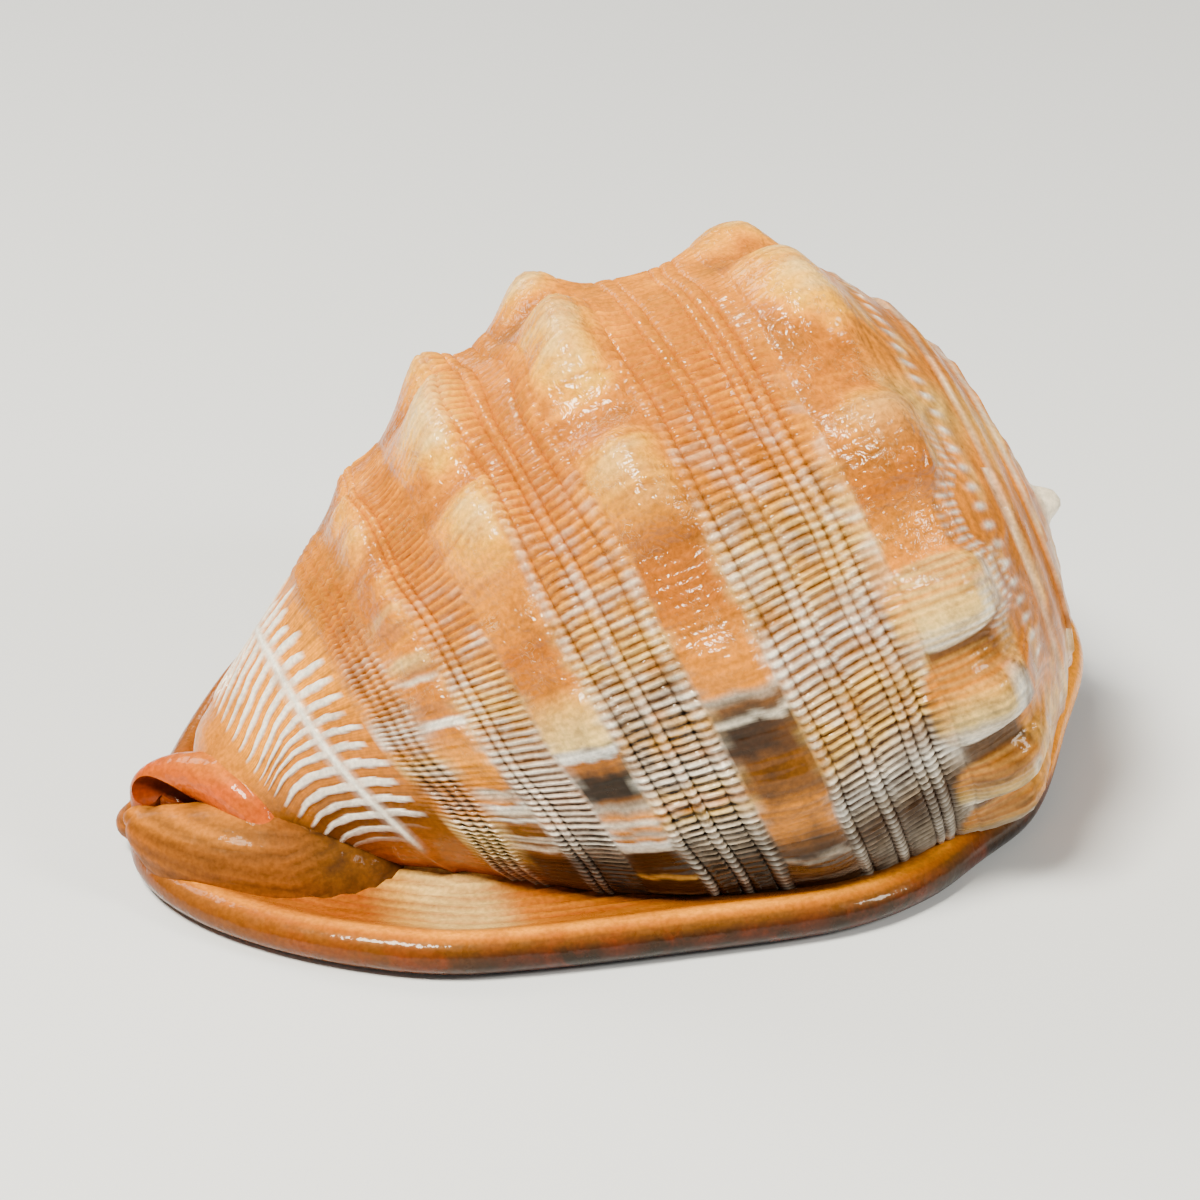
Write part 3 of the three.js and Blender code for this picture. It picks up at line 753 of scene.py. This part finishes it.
# Colours of the rim by height, dark low down as painted shade and golden at the top as painted highlight, and
# of the trough and the beak by place along the row.
RIM_LIGHT_AND_SHADE_PAINT = {0.45: "soot", 0.72: "umber", 0.88: "brown", 0.95: "rust", 1: "gold"}
TROUGH_PAINT = {-60: "honey", -50: "rust", -40: "rust", -35: "sand", -31: "cream", -24: "cream",
                -19: "tan", -14: "honey", 0: "honey", 12: "rust"}
BEAK_PAINT = {-72: "rust", -66: "chestnut", -50: "chestnut", -44: "brown", -38: "brown", -30: "umber"}


def band_paint(along, line):
    """Colours of the ribs and gaps of the nearest band, changing smoothly from band to band."""
    tint = painted(BAND_PAINT[0][1], line)
    shade = painted(BAND_PAINT[0][2], line)
    for (low, _, _), (high, crests, gaps) in zip(BAND_PAINT, BAND_PAINT[1:]):
        share = smooth(along, (low + high) / 2 - 3, (low + high) / 2 + 3)
        tint = mixed(tint, painted(crests, line), share)
        shade = mixed(shade, painted(gaps, line), share)
    return tint, shade


def add_scallops(tint, line, along):
    """Adds the crisp knobs near the shield, each pale on one side, with streaks and a shaded foot."""
    far, across = scallop(line, along)
    body = painted(SCALLOP_PAINT, across + 0.08 * (wander(along / 0.9, 51) - 0.5))
    above = smooth(SCALLOP_MIDDLE + 5 - along, -1, 2)
    body = mixed(body, "white", smooth(far, 0.66, 0.86) * fall(across, -0.1, 0.5) * above)
    streaks = swing((line + 0.8 * wander(along / 3, 53)) / 1.5)
    last = smooth(line, 101, 104)
    body = mixed(body, "cream", last * (0.15 + 0.55 * streaks))
    body = mixed(body, "cream", 0.25 * (1 - last) * (1 - streaks))
    body = mixed(body, "brown", 0.3 * (1 - last) * streaks * smooth(far, 0.2, 0.6))
    # Partly the knobs' own colour and partly painted shade: the lowest knobs on the near side are turned
    # towards slate.
    body = mixed(body, "slate", 0.45 * fall(line, 74, 82) * fall(far, 0.6, 0.85))
    return mixed(tint, body, fall(line, 119, 124) * fall(far, 0.97, 1.06))


def add_worn_side_light_and_shade(tint, angle, along, line):
    """Adds the worn golden far side, lighter on the knobs as painted highlight and darker in the hollows as
    painted shade.
    """
    golden = smooth(line, 134, 158)
    lift = knobs(angle, along) / 5 + 0.5 * (patches(line / 9, along / 8, 61) - 0.5)
    # Painted highlight and shade: the colour follows the height of the knobs, pale on top and brown below.
    worn = painted(WORN_LIGHT_AND_SHADE_PAINT, lift + 0.35 * (patches(line / 2, along / 2.5, 63) - 0.5))
    return mixed(tint, worn, golden * 0.85 * (1 - 0.3 * band_mask(along)))


def whorl_paint(angle, along, line):
    """The colours of the whorl on its ribs and in its gaps."""
    wavy = line + 1.9 * (patches(along / 2.3, line / 9, 5) - 0.5)
    wavy = wavy + 1.2 * (patches(along / 0.8, line / 4, 6) - 0.5)
    tint, shade = band_paint(along, wavy)
    bands = band_mask(along)
    flecks = smooth(patches(line / 2.6, along / 2.4, 11), 0.5, 0.85)
    flecks = flecks * smooth(line, 80, 104) * fall(line, 135, 165) * bands
    tint = mixed(tint, "white", 0.55 * flecks)
    stained = smooth(patches(line / 3.3, along / 4.1, 37), 0.55, 0.9) * (1 - flecks)
    stained = stained * smooth(line, 86, 98) * fall(line, 150, 180) * bands
    tint = mixed(tint, "honey", 0.55 * stained)
    edge = along + 0.7 * (wander(line / 1.7, 43) - 0.5)
    for low, high, stops in ROW_PAINT:
        tint = mixed(tint, painted(stops, wavy), between(edge, low, high, 0.7))
    return add_worn_side_light_and_shade(add_scallops(tint, line, along), angle, along, line), shade


def ramp_paint(angle, along, line):
    """The colours of the ramp and spire, with rows of white beads and pale ledges."""
    colour = painted(RAMP_PAINT, line + 5 * (patches(angle / 4, along / 2.5, 2) - 0.5))
    blotch = smooth(patches(angle / 9 + along / 3, along / 1.7, 8), 0.6, 0.85)
    colour = mixed(colour, "cream", 0.35 * blotch)
    bead_rows = sum(bell((along - shoulder(angle) + d) / 0.35) for d in (0.9, 2.1, 3.3))
    dots = smooth(swing(riblet_number(line)), 0.3, 0.8)
    colour = mixed(colour, "white", bead_rows * dots * smooth(angle, 96, 106) * fall(angle, 134, 146))
    colour = mixed(colour, "white", beads(angle, along, line, 0.7, 0.8))
    turn = spire_turn(angle, along)
    spire = fall(along, 16, 24)
    colour = mixed(colour, "bone", spire * smooth(turn, 0.75, 0.97) * (0.3 + 0.6 * wander(angle / 7, 4)))
    colour = mixed(colour, "rust", 0.7 * fall(turn, 0.02, 0.2) * spire)
    return mixed(colour, "bone", fall(along, 4, 7))


def front_paint(along, line):
    """The colours of the front: dashes, keel, white ribs and the bare end."""
    ground = painted(FRONT_PAINT, line + 4 * (wander(line / 3, 9) - 0.5))
    ground = mixed(ground, "brown", 0.35 * swing((line + 0.5 * wander(along / 2, 45)) / 1.1))
    side = smooth(1 - swing((line - RIB_PHASE - 1.4) / RIB_PITCH), 0, 0.16)
    ground = mixed(ground, "brown", 0.5 * (1 - side))
    colour = mixed(ground, "white", ribs(line, along) * (0.75 + 0.25 * wander(line / 1.3, 41)))
    colour = mixed(colour, "white", bell((along - KEEL) / 0.55) * smooth(line, 74, 88))
    end = mixed(painted(END_PAINT, line), "brown", 0.3 * wander(line / 0.8, 31))
    return mixed(colour, end, smooth(along, 127.6, 128.8))


def whorl_dark(angle, along, line, cords, gap):
    """How much of the gaps' colour shows: gaps, grooves, growth streaks and the ramp's threads."""
    shown = smooth(line, SHOWN_FROM, SHOWN_FROM + 6) * fall(line, SHOWN_TO - 8, SHOWN_TO)
    soft = 1 - 0.2 * smooth(line, 160, 185) * fall(line, 215, 235)
    faded = sum(between(along, a + 0.2, b - 0.2, 0.35) for a, b in BANDS)
    dark = faded * shown * soft * gap * (1 - 0.45 * cords) * (0.25 + 0.75 * smooth(along, 39.4, 43.2))
    groove = groove_mask(along) * soft * shown * (0.55 + 0.45 * gap)
    rows = between(along, 26, 112, 0.5) * (1 - band_mask(along))
    growth = smooth(wander((line + 0.6 * wander(along / 5, 93)) / 0.85, 91), 0.4, 0.95)
    dark = dark + rows * (0.2 * gap + 0.5 * growth * (0.35 + 0.65 * patches(line / 8, along / 5, 95)))
    thread, ramp = threads(angle, along)
    return np.maximum(np.maximum(dark, groove), ramp * (1 - thread) * 0.75)


def paint_whorl(points):
    """The whorl with its ramp and spire, its front end and the darkened foot of the near side, partly its own
    darker colour and partly painted shade.
    """
    angle, along = coil_place(points)
    along = along - bend(angle, along)
    line = line_of(angle, along)
    tint, shade = whorl_paint(angle, along, line)
    ends = ((ramp_paint(angle, along, line), 0.75, fall(along - shoulder(angle), -1.2, -0.2)),
            (front_paint(along, line), 0.7, smooth(along, 111.2, 112)))
    for colour, depth, share in ends:
        tint = mixed(tint, colour, share)
        shade = mixed(shade, mixed(colour, "brown", depth), share)
    # Partly the shell's own darker colour and partly painted shade: the low near side is turned towards umber
    # and soot.
    foot = fall(angle, 62, 90) * smooth(along, 38, 46) * fall(along, 106, 114)
    tint = mixed(tint, "umber", 0.55 * foot)
    shade = mixed(shade, "soot", 0.7 * foot)
    bands = band_mask(along)
    cords = np.clip(cord_mask(along), 0, 1)
    gap = 1 - np.clip(riblet_wave(line, along), 0, 1)
    worked = bands * fall(line, 130, 160)
    # Partly the beads' own pale colour and partly painted highlight: the crests of the cords are turned
    # white.
    tint = mixed(tint, "white", 0.45 * cords * worked * (1 - gap))
    tint = mixed(tint, "tan", 0.55 * worked * gap * smooth(line, 78, 96))
    worn = smooth(angle, 108, 130) * fall(angle, 225, 260) * (1 - 0.6 * bands)
    return dict(tint=tint, shade=shade, dark=whorl_dark(angle, along, line, cords, gap),
                worn=worn * between(along, 26, 112))


def rim_inset(points):
    """How far each point lies inside the rim, in plan, and its direction from the rim's heart."""
    edge = catmull(RIM, np.linspace(0, 1, 720, endpoint=False), closed=True)
    out = points[:, :2] - RIM_HEART
    turn = np.arctan2(out[:, 1], out[:, 0])
    rim = edge - RIM_HEART
    rim_turn = np.arctan2(rim[:, 1], rim[:, 0])
    order = np.argsort(rim_turn)
    reach = np.interp(turn, rim_turn[order], np.linalg.norm(rim, axis=1)[order], period=2 * math.pi)
    return reach - np.linalg.norm(out, axis=1), turn


def paint_callus(points):
    """The glossy shield: a rolled rim, golden at the top as painted highlight and dark below as painted
    shade, a trough with a cream patch, and an orange underside.
    """
    inset, turn = rim_inset(points)
    x, y, z = points.T
    share = z / thickness(points)
    # Painted shade and highlight: the rim darkens towards its foot and turns golden at its top.
    rim = painted(RIM_LIGHT_AND_SHADE_PAINT, share)
    rim = mixed(rim, "rust", 0.35 * fall(x, -55, -20))
    rim = mixed(rim, "ember", 0.2 * smooth(patches(turn * 14, share * 2, 71), 0.5, 0.95))
    trough = mixed(painted(TROUGH_PAINT, x), "honey", smooth(x, 12, 40))
    trough = mixed(trough, "brown", 0.45 * patches(turn * 7, inset / 3, 5))
    trough = mixed("orange", trough, fall(y, 0, 12))
    tint = mixed(rim, trough, smooth(inset, 4.5, 7.5))
    below = mixed("orange", "ember", smooth(inset, 8, 24) * 0.8)
    tint = mixed(tint, below, fall(z, 2.2, 3.2) * smooth(inset, 3, 6))
    lines = inset / LAMELLA_PITCH + 0.7 * patches(turn * 6, inset / 7, 3)
    return dict(tint=tint, shade=mixed(tint, "ember", 0.7), worn=0 * x,
                dark=smooth(inset, 5, 8) * 0.75 * (1 - swing(lines)))


def paint_canal(points):
    """The beak in brown and rust growth lines, paler along its top, and the two nubs."""
    x, y, z = points.T
    tint = mixed(painted(BEAK_PAINT, x), "tan", 0.6 * smooth(z, 10, 12.5) * fall(x, -60, -50))
    shade = mixed(tint, "umber", 0.8)
    end = smooth(x, -50, -43)
    round_end = np.hypot(x + 33, 1.2 * (z - 3))
    lines = (z + 0.15 * x) / 2.1 * (1 - end) + round_end / 2.3 * end + 0.8 * patches(x / 9, y / 9, 6)
    dark = (1 - swing(lines)) * (0.5 + 0.5 * wander(lines * 0.5, 77))
    return dict(tint=mixed(tint, "rust", smooth(x, 0, 10)), shade=shade, dark=dark, worn=0 * x)


def paint_lip(points):
    """The curled lip: orange, paler along its upper fold as painted highlight, and deeper below."""
    x, y, z = points.T
    # Painted highlight: the upper fold is turned towards peach.
    tint = mixed("orange", "peach", smooth(z, 16.5, 21))
    tint = mixed(tint, "ember", fall(z, 11, 15.5))
    tint = mixed(tint, "rust", 0.5 * patches(x / 4, y / 4 + z / 3, 83))
    dark = 0.5 * (1 - swing((z - 0.5 * y) / 1.6))
    return dict(tint=tint, shade=mixed(tint, "ember", 0.7), dark=dark, worn=0 * x)


def paint_plain(points, light, dark):
    """Soft patches of two colours, for the hollow and the teeth."""
    x, y, z = points.T
    tint = mixed(light, dark, patches(x / 5, y / 5 + z / 5, 4) * 0.5)
    return dict(tint=tint, shade=np.broadcast_to(linear(dark), points.shape), dark=0 * x, worn=0 * x)


def paint(mesh, points):
    """Writes each corner's colours and pattern values, by the material of its face."""
    corner = read(mesh.loops, "vertex_index")
    corner_zone = np.repeat(read(mesh.polygons, "material_index"), read(mesh.polygons, "loop_total"))
    makers = {
        "whorl": paint_whorl, "callus": paint_callus, "canal": paint_canal, "lip": paint_lip,
        "inside": lambda p: paint_plain(p, "ember", "wine"),
        "tooth": lambda p: paint_plain(p, "bone", "sand"),
    }
    colours = {key: np.ones((len(corner), 4), np.float32) for key in ("tint", "shade")}
    values = {key: np.zeros(len(corner), np.float32) for key in ("dark", "worn")}
    for k, material in enumerate(mesh.materials):
        chosen = corner_zone == k
        if not chosen.any():
            continue
        unique, back = np.unique(corner[chosen], return_inverse=True)
        made = makers[material.name](points[unique])
        for key in colours:
            colours[key][chosen, :3] = made[key][back]
        for key in values:
            values[key][chosen] = made[key][back]
    for key, value in colours.items():
        layer = mesh.attributes.new(key, "FLOAT_COLOR", "CORNER")
        layer.data.foreach_set("color", value.ravel())
    for key, value in values.items():
        layer = mesh.attributes.new(key, "FLOAT", "CORNER")
        layer.data.foreach_set("value", value)


class Graph:
    """Small helpers to write a material's nodes."""

    def __init__(self, material):
        self.tree = material.node_tree
        self.shader = self.tree.nodes["Principled BSDF"]
        self.place = self.node("ShaderNodeTexCoord").outputs["Object"]

    def node(self, kind, inputs=(), **settings):
        """A new node with its settings and what goes into its inputs."""
        made = self.tree.nodes.new(kind)
        for key, value in settings.items():
            setattr(made, key, value)
        for key, value in dict(inputs).items():
            self.link(value, made.inputs[key])
        return made

    def link(self, value, socket):
        """Links a socket's output, or sets a plain value."""
        if isinstance(value, bpy.types.NodeSocket):
            self.tree.links.new(value, socket)
        else:
            socket.default_value = value

    def attribute(self, name, output="Fac"):
        return self.node("ShaderNodeAttribute", attribute_name=name).outputs[output]

    def math(self, operation, *values, clamp=False):
        return self.node("ShaderNodeMath", enumerate(values), operation=operation, use_clamp=clamp).outputs[0]

    def times(self, a, b, clamp=False):
        return self.math("MULTIPLY", a, b, clamp=clamp)

    def mix(self, share, a, b, blend="MIX"):
        inputs = {"Factor": share, 6: a, 7: b}
        return self.node("ShaderNodeMix", inputs, data_type="RGBA", blend_type=blend).outputs[2]

    def noise(self, scale, detail=3.0, roughness=0.5, distortion=0.0):
        inputs = {"Vector": self.place, "Scale": scale, "Detail": detail, "Roughness": roughness,
                  "Distortion": distortion}
        return self.node("ShaderNodeTexNoise", inputs).outputs["Fac"]

    def span(self, value, low, high, out_low=0.0, out_high=1.0):
        """A soft step of a value from one range to another."""
        inputs = {"Value": value, "From Min": low, "From Max": high, "To Min": out_low, "To Max": out_high}
        return self.node("ShaderNodeMapRange", inputs, interpolation_type="SMOOTHSTEP").outputs["Result"]

    def bump(self, height, strength, distance):
        made = self.node("ShaderNodeBump", {"Strength": strength, "Distance": distance, "Height": height})
        for key in ("Normal", "Coat Normal"):
            self.link(made.outputs["Normal"], self.shader.inputs[key])


def shell_material(name, gloss, coat, mottling):
    """A glazed shell: painted colours, mottling, squiggly painted glints on the worn parts and a thin gloss.
    """
    g = Graph(MATERIALS[name])
    tint, shade = g.attribute("tint", "Color"), g.attribute("shade", "Color")
    dark, worn = g.attribute("dark"), g.attribute("worn")
    patchy = g.span(g.noise(420, 5, 0.6), 0.25, 0.75, 0.8, 1.2)
    colour = g.mix(g.times(dark, patchy, clamp=True), tint, shade)
    mottle = g.noise(170, 6, 0.66, 0.5)
    colour = g.mix(g.span(mottle, 0.45, 0.75, 0.0, mottling), colour, shade)
    fine = g.span(g.noise(1500, 3), 0.3, 0.7, 0.8, 1.12)
    colour = g.mix(1.0, colour, fine, "MULTIPLY")
    squiggle = g.math("ABSOLUTE", g.math("SUBTRACT", g.noise(950, 2, 0.5, 1.2), 0.5))
    glint_squiggles = g.times(g.math("SUBTRACT", 1.0, g.span(squiggle, 0.0, 0.05)),
                     g.span(g.noise(210, 4, 0.6), 0.5, 0.7))
    glint = g.times(glint_squiggles, worn)
    # Painted highlight: squiggly golden glints mixed into the base colour where the surface is marked worn.
    colour = g.mix(g.times(glint, 0.3), colour, GLINT_COLOUR)
    g.link(colour, g.shader.inputs["Base Color"])
    g.link(g.span(g.noise(330, 4), 0.3, 0.7, gloss - 0.08, gloss + 0.14), g.shader.inputs["Roughness"])
    if name == "whorl":
        g.link(g.span(worn, 0, 1, coat, WORN_COAT), g.shader.inputs["Coat Weight"])
    else:
        g.shader.inputs["Coat Weight"].default_value = coat
    for key, value in GLAZE.items():
        g.shader.inputs[key].default_value = value
    wrinkles = g.times(g.noise(480, 2, 0.6, 0.8), worn)
    height = g.times(dark, -0.5)
    for layer, share in ((g.noise(900, 1), 0.3), (g.noise(260, 3), 0.5), (wrinkles, 2.2), (glint, 0.3)):
        height = g.math("ADD", height, g.times(layer, share))
    g.bump(height, BUMP_STRENGTH, BUMP_DISTANCE)


for finish_name, finish in FINISHES.items():
    shell_material(finish_name, *finish)

shell = build_shell()
shell.name = "helmet_shell"
shell.data.name = "helmet_shell"
mesh = shell.data
points = read(mesh.vertices, "co", 3, float).reshape(-1, 3)
paint(mesh, points)
row_points = (points - FOOTPRINT_MIDDLE) / 1000
mesh.vertices.foreach_set("co", row_points.ravel())
mesh.update()
mesh.shade_smooth()
mesh.set_sharp_from_angle(angle=math.radians(55))

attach(shell, "root")
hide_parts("shell")

floor_mesh = bpy.data.meshes.new("floor")
floor_mesh.from_pydata([(-3, -3, 0), (3, -3, 0), (3, 3, 0), (-3, 3, 0)], [], [(0, 1, 2, 3)])
floor = add_object("floor", floor_mesh)
floor_material = make_material("pale_floor")
floor_shader = floor_material.node_tree.nodes["Principled BSDF"]
floor_shader.inputs["Base Color"].default_value = (0.7, 0.76, 0.86, 1)
floor_shader.inputs["Roughness"].default_value = 0.6
floor_mesh.materials.append(floor_material)

world = bpy.data.worlds.new("studio")
bpy.context.scene.world = world
world.use_nodes = True
background = world.node_tree.nodes["Background"]
background.inputs["Color"].default_value = (1, 0.9, 0.76, 1)
background.inputs["Strength"].default_value = 0.27


def area_light(name, place, target, size, power, colour):
    """A soft rectangular lamp, with its power in watts."""
    light = bpy.data.lights.new(name, "AREA")
    light.shape = "RECTANGLE"
    light.size, light.size_y = size
    light.energy = power
    light.color = colour
    obj = add_object(name, light)
    obj.location = place
    obj.rotation_euler = (Vector(target) - Vector(place)).to_track_quat("-Z", "Y").to_euler()


area_light("key", (-0.46, -0.36, 0.98), (0, 0, 0.03), (0.34, 0.26), 36, (1, 0.9, 0.7))
area_light("side", (0.75, -0.6, 0.6), (0, 0, 0.04), (0.25, 0.25), 9, (1, 0.92, 0.76))
area_light("rim", (-0.5, 0.7, 0.75), (0, 0, 0.05), (0.5, 0.4), 7, (1, 0.92, 0.8))

camera_data = bpy.data.cameras.new("camera")
camera_data.sensor_width = 36
camera_data.lens = 108
camera = add_object("camera", camera_data)
azimuth, elevation, distance = math.radians(-14.6), math.radians(26), 0.52
target = Vector((-0.00548, -0.00816, 0.035))
level = math.cos(elevation)
back = Vector((math.sin(azimuth) * level, -math.cos(azimuth) * level, math.sin(elevation)))
camera.location = target + back * distance
camera.rotation_euler = (-back).to_track_quat("-Z", "Y").to_euler()
bpy.context.scene.camera = camera
